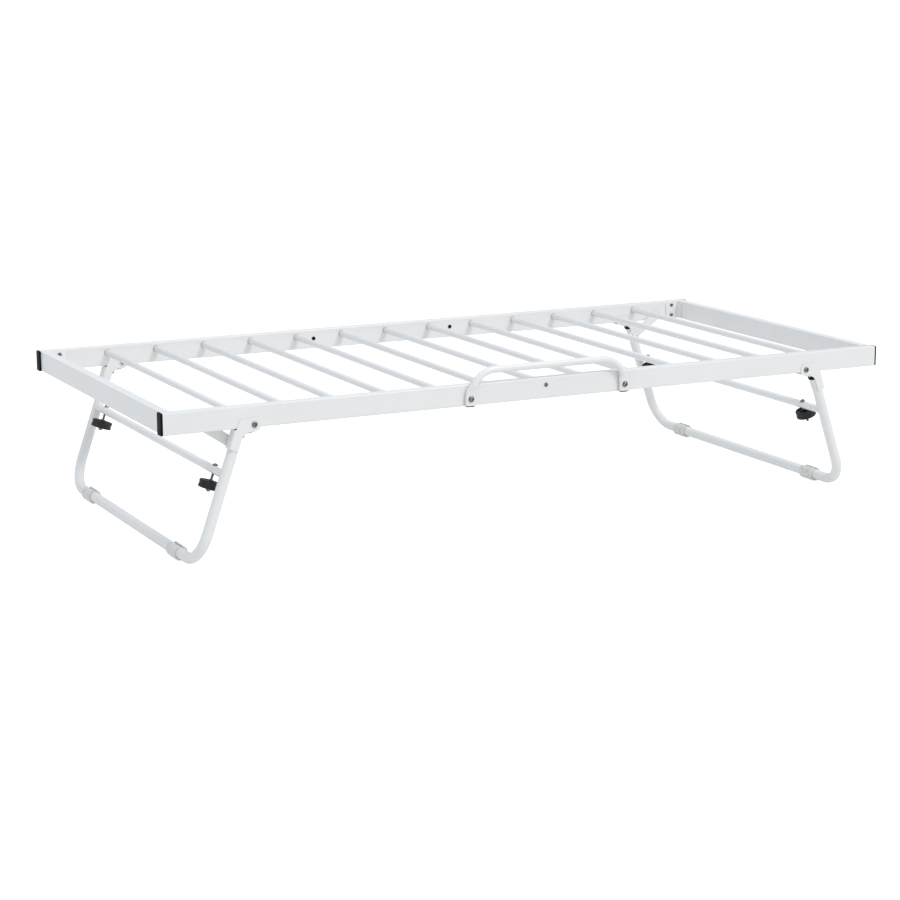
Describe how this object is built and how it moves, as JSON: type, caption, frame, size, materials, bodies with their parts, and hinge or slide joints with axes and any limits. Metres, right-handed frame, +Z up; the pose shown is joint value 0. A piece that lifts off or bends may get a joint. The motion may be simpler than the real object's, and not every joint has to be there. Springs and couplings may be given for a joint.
{
  "type": "trundle bed",
  "caption": "Low slatted steel trundle bed with folding U-shaped leg frames, rollers on their crossbars and a side pull handle.",
  "frame": {"origin": "on the floor, under the middle of the overall box", "axes": "+X along the bed, -Y the side with the pull handle, +Z up; legs unfolded"},
  "size_m": [1.9, 0.9236, 0.4045],
  "materials": {
    "white_powder_coat": "semi-gloss white powder coat on steel tube and sheet",
    "black_cap_plastic": "black moulded end caps and plugs",
    "black_wheel_plastic": "black moulded rollers",
    "zinc_plated_steel": "zinc-plated bolts",
    "cream_clip_plastic": "cream translucent foot clips"
  },
  "bodies": {
    "bed_frame": {"front_rail": "white_powder_coat", "back_rail": "white_powder_coat", "left_end_rail": "white_powder_coat", "right_end_rail": "white_powder_coat", "front_left_rail_cap": "black_cap_plastic", "front_left_corner_angle": "white_powder_coat", "front_right_rail_cap": "black_cap_plastic", "front_right_corner_angle": "white_powder_coat", "back_left_rail_cap": "black_cap_plastic", "back_left_corner_angle": "white_powder_coat", "back_right_rail_cap": "black_cap_plastic", "back_right_corner_angle": "white_powder_coat", "slat_01": "white_powder_coat", "slat_02": "white_powder_coat", "slat_03": "white_powder_coat", "slat_04": "white_powder_coat", "slat_05": "white_powder_coat", "slat_06": "white_powder_coat", "slat_07": "white_powder_coat", "slat_08": "white_powder_coat", "slat_09": "white_powder_coat", "slat_10": "white_powder_coat", "slat_11": "white_powder_coat", "slat_12": "white_powder_coat", "slat_13": "white_powder_coat", "pull_handle": "white_powder_coat", "handle_bolt_left": "zinc_plated_steel", "handle_bolt_right": "zinc_plated_steel", "handle_plug_left": "black_cap_plastic", "handle_plug_right": "black_cap_plastic", "front_left_pivot_bolt": "zinc_plated_steel", "back_left_pivot_bolt": "zinc_plated_steel", "front_right_pivot_bolt": "zinc_plated_steel", "back_right_pivot_bolt": "zinc_plated_steel"},
    "left_leg": {"left_leg_frame": "white_powder_coat", "left_crossbar": "white_powder_coat", "front_left_hinge_channel": "white_powder_coat", "front_left_tube_plug": "black_cap_plastic", "front_left_axle_bolt": "zinc_plated_steel", "front_left_foot_clip": "cream_clip_plastic", "back_left_hinge_channel": "white_powder_coat", "back_left_tube_plug": "black_cap_plastic", "back_left_axle_bolt": "zinc_plated_steel", "back_left_foot_clip": "cream_clip_plastic"},
    "left_latch": {"left_latch_arm": "white_powder_coat"},
    "front_left_roller": {"front_left_wheel": "black_wheel_plastic"},
    "back_left_roller": {"back_left_wheel": "black_wheel_plastic"},
    "right_leg": {"right_leg_frame": "white_powder_coat", "right_crossbar": "white_powder_coat", "front_right_hinge_channel": "white_powder_coat", "front_right_tube_plug": "black_cap_plastic", "front_right_axle_bolt": "zinc_plated_steel", "front_right_foot_clip": "cream_clip_plastic", "back_right_hinge_channel": "white_powder_coat", "back_right_tube_plug": "black_cap_plastic", "back_right_axle_bolt": "zinc_plated_steel", "back_right_foot_clip": "cream_clip_plastic"},
    "right_latch": {"right_latch_arm": "white_powder_coat"},
    "front_right_roller": {"front_right_wheel": "black_wheel_plastic"},
    "back_right_roller": {"back_right_wheel": "black_wheel_plastic"}
  },
  "joints": [
    {"name": "left_leg_fold", "type": "hinge", "parent": "bed_frame", "child": "left_leg", "pos_m": [-0.7345, 0.00545, 0.321], "axis": [0, -1, 0], "range_deg": [0, 109]},
    {"name": "left_latch_lift", "type": "hinge", "parent": "bed_frame", "child": "left_latch", "pos_m": [-0.84969, -0.41615, 0.32769], "axis": [0, -1, 0], "range_deg": [0, 18]},
    {"name": "front_left_wheel_spin", "type": "hinge", "parent": "left_leg", "child": "front_left_roller", "pos_m": [-0.81151, -0.36555, 0.17729], "axis": [-0.3272, 0, -0.9449], "continuous": true},
    {"name": "back_left_wheel_spin", "type": "hinge", "parent": "left_leg", "child": "back_left_roller", "pos_m": [-0.81151, 0.37845, 0.17729], "axis": [-0.3272, 0, -0.9449], "continuous": true},
    {"name": "right_leg_fold", "type": "hinge", "parent": "bed_frame", "child": "right_leg", "pos_m": [0.7345, 0.00545, 0.321], "axis": [0, 1, 0], "range_deg": [0, 109]},
    {"name": "right_latch_lift", "type": "hinge", "parent": "bed_frame", "child": "right_latch", "pos_m": [0.84969, 0.42705, 0.32769], "axis": [0, 1, 0], "range_deg": [0, 18]},
    {"name": "front_right_wheel_spin", "type": "hinge", "parent": "right_leg", "child": "front_right_roller", "pos_m": [0.80742, -0.35055, 0.1891], "axis": [0.3272, 0, -0.9449], "continuous": true},
    {"name": "back_right_wheel_spin", "type": "hinge", "parent": "right_leg", "child": "back_right_roller", "pos_m": [0.80742, 0.38745, 0.1891], "axis": [0.3272, 0, -0.9449], "continuous": true}
  ]
}
